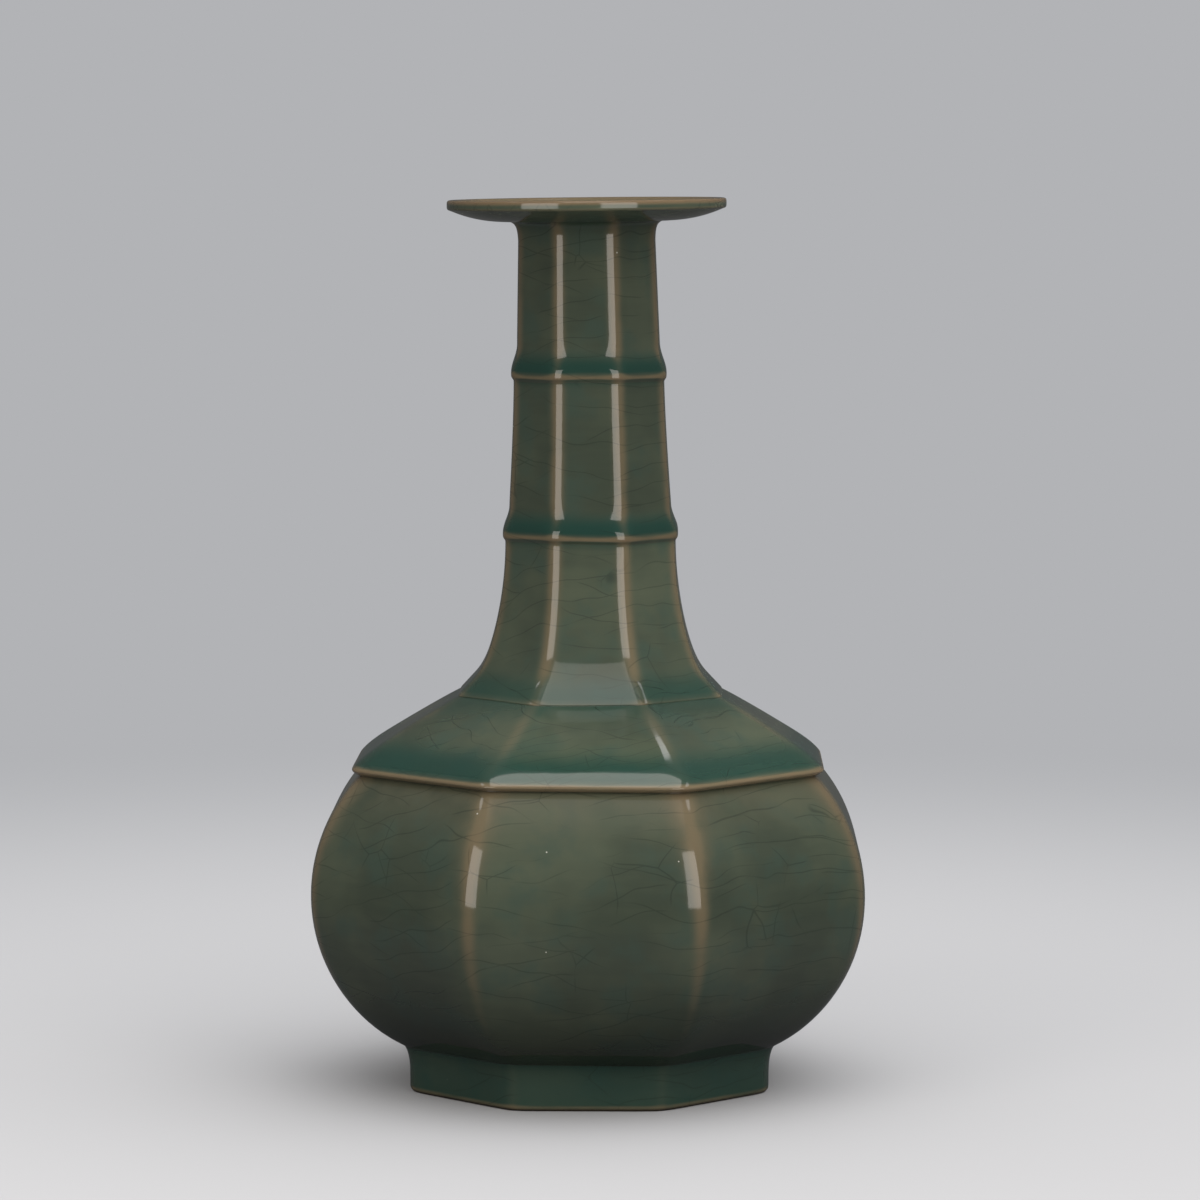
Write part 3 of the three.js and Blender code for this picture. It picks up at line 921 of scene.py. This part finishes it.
# Stoneware under a thick feldspar glaze, fired to a celadon green. The glass is deep and blue in the hollows,
# thin and brown on the edges, crazed with fine lines and a little wavy. Painted shade darkens it towards the
# foot and under the parts above, and painted light makes the upper belly paler towards its top.
def glazedStoneware(name, crackleLeans, hasBareClay=False):
    material = bpy.data.materials.new(name)
    tree = clearTree(material)
    look = stoneware
    place = addNode(tree, "TexCoord", output="Object")
    place = addNode(tree, "VectorMath", {0: place, "Scale": 1 / millimetre}, operation="SCALE")
    flatten = {0: place, 1: (1, 1, look["runFlatness"])}
    flattened = addNode(tree, "VectorMath", flatten, operation="MULTIPLY")
    noises = {}
    for key, (size, detail) in look["noises"].items():
        noise = {"Vector": flattened if key == "runs" else place, "Scale": 1 / size, "Detail": detail}
        noises[key] = addNode(tree, "TexNoise", noise)
    keys = ["thinGlaze", "glazePoolAndShade", "deepGlazeAndShade"]
    if hasBareClay:
        keys.append("bareClay")
    painted = {}
    for key in keys:
        painted[key] = addNode(tree, "Attribute", output="Fac", attribute_name=key)

    # What each ramp reads
    worn = addNode(tree, "MapRange", rampFrom(noises["uneven"], *ramps["worn"]), **smooth)
    thin = addNode(tree, "Math", {0: painted["thinGlaze"], 1: worn}, **product)
    sources = {"shade": noises["shade"], "runs": noises["runs"], "tint": noises["tint"]}
    sources |= {"edge": thin, "thin": thin, "gloss": noises["waves"]}
    shares = {}
    for key, source in sources.items():
        shares[key] = addNode(tree, "MapRange", rampFrom(source, *ramps[key]), **smooth)
    # Darkening towards the foot, partly painted shade
    deep = {0: painted["deepGlazeAndShade"], 1: look["deepAndShadeShare"]}
    shares["deep"] = addNode(tree, "Math", deep, **product)
    depth = {0: look["runShare"], 2: shares["shade"], 3: shares["runs"]}
    shares["dark"] = addNode(tree, "Mix", depth)

    # Each layer covers the ones before it by its share
    layers = [
        (shares["dark"], "dark"),
        (shares["tint"], "cool"),
        # run-down glaze and painted shade towards the foot
        (shares["deep"], "deep"),
        # pooled glaze, with painted shade under the parts above
        (painted["glazePoolAndShade"], "pool"),
        (shares["edge"], "edge"),
        (shares["thin"], "thin"),
        (crazing(tree, place, noises, painted["thinGlaze"], crackleLeans), "crackle"),
        (specks(tree, place), "speck"),
    ]
    gloss = shares["gloss"]
    if hasBareClay:
        layers.append((painted["bareClay"], "clay"))
        rough = addNode(tree, "Math", {0: painted["bareClay"], 1: look["clayRoughness"]}, **product)
        gloss = addNode(tree, "Math", {0: gloss, 1: rough}, **larger)
    colour = linearColour(glazeColours["light"])
    for share, cover in layers:
        mix = {0: share, 6: colour, 7: linearColour(glazeColours[cover])}
        colour = addNode(tree, "Mix", mix, 2, data_type="RGBA")

    waves = {"Height": noises["waves"], "Distance": look["waveHeight"]}
    waves = addNode(tree, "Bump", waves)
    peel = {"Height": noises["peel"], "Distance": look["peelHeight"], "Normal": waves}
    peel = addNode(tree, "Bump", peel)
    glass = {"Base Color": colour, "Roughness": gloss, "IOR": look["ior"], "Normal": peel}
    glass = addNode(tree, "BsdfPrincipled", glass)
    addNode(tree, "OutputMaterial", {"Surface": glass})
    return material


def dress(pieces, material):
    for piece in pieces:
        piece.data.materials.append(material)


shoulderPiece = wallPieces["shoulder"]
upright = [piece for name, piece in wallPieces.items() if name != "shoulder"]
dress(upright, glazedStoneware("glazedStonewareWall", leans["wall"]))
dress([shoulderPiece], glazedStoneware("glazedStonewareShoulder", leans["shoulder"]))
dress([platePiece, slabPiece], glazedStoneware("glazedStonewarePlate", leans["plate"]))
dress([footPiece], glazedStoneware("glazedStonewareFoot", leans["wall"], hasBareClay=True))
print("stage: glazes made")

camera = {
    "distance": 1.496,  # from the vase's axis
    "height": 0.269,  # of the lens over the floor
    "focalPixels": 5327.0,
    "frameSide": 1200.0,
    "sensor": 36.0,
    "pitch": 5.05,  # degrees below level
    "turn": 1.0,  # degrees round the vase from its front side
    "aimAside": 0.003,  # the vase stands left of the middle of the frame
}


def makeCamera():
    turn = math.radians(camera["turn"])
    toLens = Vector((math.sin(turn), -math.cos(turn), 0))
    aside = Vector((math.cos(turn), math.sin(turn), 0)) * camera["aimAside"]
    place = toLens * camera["distance"] + Vector((0, 0, camera["height"]))
    drop = math.tan(math.radians(camera["pitch"])) * camera["distance"]
    aim = aside + Vector((0, 0, camera["height"] - drop))
    data = bpy.data.cameras.new("photoCamera")
    data.sensor_width = camera["sensor"]
    data.lens = camera["focalPixels"] / camera["frameSide"] * camera["sensor"]
    lens = addObject("photoCamera", data)
    lens.location = place
    lens.rotation_euler = (aim - place).to_track_quat("-Z", "Y").to_euler()
    bpy.context.scene.camera = lens


makeCamera()

studio = {
    "floorColour": "#b6b6b8",
    "backColour": "#b2b3b6",
    "floorDimmed": "#5a5a5d",  # as the vase finds it
    "floorSize": 12.0,
    "fade": (0.25, 0.85),  # metres from the vase over which the floor turns into the backdrop
    "mirroredFade": (0.1, 0.45),  # the same in reflections
    "room": 0.09,  # light level that reflections find all round
    "fill": 0.1,  # light level from all round for the vase's own colour
    "skyLevel": 2.2,  # more light from one side of the sky, and where that side is
    "skySide": (0.26, -0.26, 0.93),
    "behindLevel": 0.7,  # and some from behind
    "behindSide": (0.0, 0.92, 0.39),
    "lobePower": 2.0,  # how fast those two fall off with the angle
}


# The kinds of ray, and whether a ray shows the backdrop: straight from the camera or refracted
def raysOf(tree):
    rays = addNode(tree, "LightPath").node.outputs
    seen = {0: rays["Is Camera Ray"], 1: rays["Is Transmission Ray"]}
    return rays, addNode(tree, "Math", seen, operation="MAXIMUM")


# Floor that fades into the backdrop's colour with distance, so that no horizon shows. The vase
# is lit by, and mirrors, a dimmer one than the camera sees.
def makeFloor():
    size = studio["floorSize"]
    corners = [(-size, -size, 0), (size, -size, 0), (size, size, 0), (-size, size, 0)]
    shape = bpy.data.meshes.new("floor")
    shape.from_pydata(corners, [], [(0, 1, 2, 3)])
    floor = addObject("floor", shape)
    material = bpy.data.materials.new("paintedFloor")
    tree = clearTree(material)
    rays, seen = raysOf(tree)
    paint = {0: seen, 6: linearColour(studio["floorDimmed"]), 7: linearColour(studio["floorColour"])}
    paint = addNode(tree, "Mix", paint, 2, data_type="RGBA")
    near = addNode(tree, "BsdfDiffuse", {"Color": paint})
    mirrored = {0: rays["Is Glossy Ray"], 1: studio["room"]}
    mirrored = addNode(tree, "Math", mirrored, operation="MULTIPLY")
    mirrored = addNode(tree, "Emission", {"Strength": mirrored})
    far = {"Color": linearColour(studio["backColour"]), "Strength": seen}
    far = addNode(tree, "Emission", far)
    far = addNode(tree, "AddShader", {0: far, 1: mirrored})
    place = addNode(tree, "TexCoord", output="Object")
    distance = addNode(tree, "VectorMath", {0: place}, "Value", operation="LENGTH")
    fades = []
    for ends in (studio["fade"], studio["mirroredFade"]):
        fades.append(addNode(tree, "MapRange", rampFrom(distance, *ends), **smooth))
    fade = addNode(tree, "Mix", {0: rays["Is Glossy Ray"], 2: fades[0], 3: fades[1]})
    mixed = addNode(tree, "MixShader", {0: fade, 1: near, 2: far})
    addNode(tree, "OutputMaterial", {"Surface": mixed})
    shape.materials.append(material)


makeFloor()

# Ceiling cloth over the vase, as reflections find it. Places are on a plane one unit over the
# vase, sideways and from the front (negative) to the back.
ceiling = {
    "halfWidth": (0.36, 0.44),  # where its soft sides begin and end
    "slope": (-1.1, -0.15),
    "levels": (0.0, 0.45),  # at the two ends of the slope
    "back": (0.05, 0.3),
    "lowest": (0.3, 0.4),  # how steeply up a ray has to look to find it
}

# Small lights in the ceiling: middle and half sizes on that plane, degrees turned, and level
glints = {
    "shoulderGlint": {"middle": (0.165, 0.43, 0), "size": (0.15, 0.028, 1), "turn": 43.0, "level": 3.0},
    "leftGlint": {"middle": (-0.7, 0.08, 0), "size": (0.08, 0.17, 1), "turn": 0.0, "level": 2.0},
    "rightGlint": {"middle": (0.62, 0.08, 0), "size": (0.08, 0.17, 1), "turn": 0.0, "level": 2.0},
}
glintSoftness = 0.3


# Light of the soft sky: fill + sum of level * max(direction . side, 0) ^ power
def skyLight(tree, direction):
    sky = studio["fill"]
    for lobe in ("sky", "behind"):
        sides = {0: direction, 1: studio[lobe + "Side"]}
        side = addNode(tree, "VectorMath", sides, "Value", operation="DOT_PRODUCT")
        side = addNode(tree, "Math", {0: side, 1: 0.0}, operation="MAXIMUM")
        share = addNode(tree, "Math", {0: side, 1: studio["lobePower"]}, operation="POWER")
        terms = {0: share, 1: studio[lobe + "Level"], 2: sky}
        sky = addNode(tree, "Math", terms, operation="MULTIPLY_ADD")
    return sky


# Light that reflections find: the ceiling cloth and its small lights over a dim room. A ray
# meets the ceiling at (x, y) / z.
def mirroredLight(tree, direction):
    axes = addNode(tree, "SeparateXYZ", {0: direction}).node.outputs
    height = addNode(tree, "Math", {0: axes[2], 1: 0.001}, operation="MAXIMUM")
    sideways = addNode(tree, "Math", {0: axes[0], 1: height}, operation="DIVIDE")
    back = addNode(tree, "Math", {0: axes[1], 1: height}, operation="DIVIDE")
    aside = addNode(tree, "Math", {0: sideways}, operation="ABSOLUTE")
    cloth = addNode(tree, "MapRange", rampFrom(back, *ceiling["slope"], *ceiling["levels"]))
    for value, ends in ((back, ceiling["back"]), (aside, ceiling["halfWidth"])):
        fade = addNode(tree, "MapRange", rampFrom(value, *ends, 1.0, 0.0), **smooth)
        cloth = addNode(tree, "Math", {0: cloth, 1: fade}, operation="MULTIPLY")
    place = addNode(tree, "CombineXYZ", {0: sideways, 1: back})
    for glint in glints.values():
        turn = (0, 0, math.radians(glint["turn"]))
        spot = {"Vector": place, "Location": glint["middle"], "Rotation": turn, "Scale": glint["size"]}
        fromMiddle = addNode(tree, "Mapping", spot, vector_type="TEXTURE")
        away = addNode(tree, "VectorMath", {0: fromMiddle}, "Value", operation="LENGTH")
        fade = rampFrom(away, 1 - glintSoftness, 1.0, glint["level"], 0.0)
        lit = addNode(tree, "MapRange", fade, **smooth)
        cloth = addNode(tree, "Math", {0: cloth, 1: lit}, operation="MAXIMUM")
    overhead = addNode(tree, "MapRange", rampFrom(axes[2], *ceiling["lowest"]), **smooth)
    cloth = addNode(tree, "Math", {0: cloth, 1: overhead}, operation="MULTIPLY")
    return addNode(tree, "Math", {0: cloth, 1: studio["room"]}, operation="MAXIMUM")


# World: the backdrop for the camera, a soft sky for the vase's own colour, and for reflections
# the dim room with the ceiling cloth above
def makeWorld():
    world = bpy.data.worlds.new("studio")
    bpy.context.scene.world = world
    tree = clearTree(world)
    direction = addNode(tree, "TexCoord", output="Generated")
    rays, seen = raysOf(tree)
    levels = {0: rays["Is Glossy Ray"], 2: skyLight(tree, direction), 3: mirroredLight(tree, direction)}
    level = addNode(tree, "Mix", levels)
    lit = addNode(tree, "Background", {"Color": (1, 1, 1, 1), "Strength": level})
    backdrop = addNode(tree, "Background", {"Color": linearColour(studio["backColour"])})
    mixed = addNode(tree, "MixShader", {0: seen, 1: lit, 2: backdrop})
    addNode(tree, "OutputWorld", {"Surface": mixed})


makeWorld()

# Softboxes: where each stands, in degrees round from the front, what height it faces (none for
# straight down), its width and its depth or height in metres, and its radiance. Two stand in
# front of the vase. The others hang over it and are seen as reflections only, each in some of
# the sections.
softboxColour = "#fff8f0"
softboxes = {
    "leftBox": {
        "round": -37.0,
        "away": 0.65,
        "middle": 0.3135,
        "facing": 0.3135,
        "size": (0.36, 0.477),
        "level": 2.6,
    },
    "rightBox": {
        "round": 27.0,
        "away": 0.65,
        "middle": 0.3135,
        "facing": 0.3135,
        "size": (0.336, 0.477),
        "level": 2.8,
    },
    "neckBox": {
        "round": 0.0,
        "away": 0.5,
        "middle": 1.0,
        "facing": 0.16,
        "size": (0.5, 0.88),
        "level": 1.2,
    },
    "shoulderBox": {
        "round": 0.0,
        "away": 0.225,
        "middle": 1.092,
        "facing": None,
        "size": (0.8, 0.57),
        "level": 2.0,
    },
}


def makeSoftbox(name, mirroredBy=()):
    box = softboxes[name]
    around = math.radians(box["round"])
    place = Vector((math.sin(around) * box["away"], -math.cos(around) * box["away"], box["middle"]))
    wide, tall = box["size"]
    lamp = bpy.data.lights.new(name, "AREA")
    lamp.shape = "RECTANGLE"
    lamp.size = wide
    lamp.size_y = tall
    lamp.color = linearColour(softboxColour)[:3]
    lamp.energy = box["level"] * math.pi * wide * tall
    holder = addObject(name, lamp)
    holder.location = place
    if box["facing"] is not None:
        aim = Vector((0, 0, box["facing"]))
        holder.rotation_euler = (aim - place).to_track_quat("-Z", "Y").to_euler()
    holder.visible_camera = False
    if mirroredBy:
        holder.visible_diffuse = False
        holder.light_linking.receiver_collection = bpy.data.collections.new(name + "Mirrors")
        for piece in mirroredBy:
            holder.light_linking.receiver_collection.objects.link(piece)


makeSoftbox("leftBox")
makeSoftbox("rightBox")
makeSoftbox("neckBox", [wallPieces["neckLower"], platePiece])
makeSoftbox("shoulderBox", [shoulderPiece])
print("stage: studio lit")

bpy.context.scene.view_settings.view_transform = "Standard"
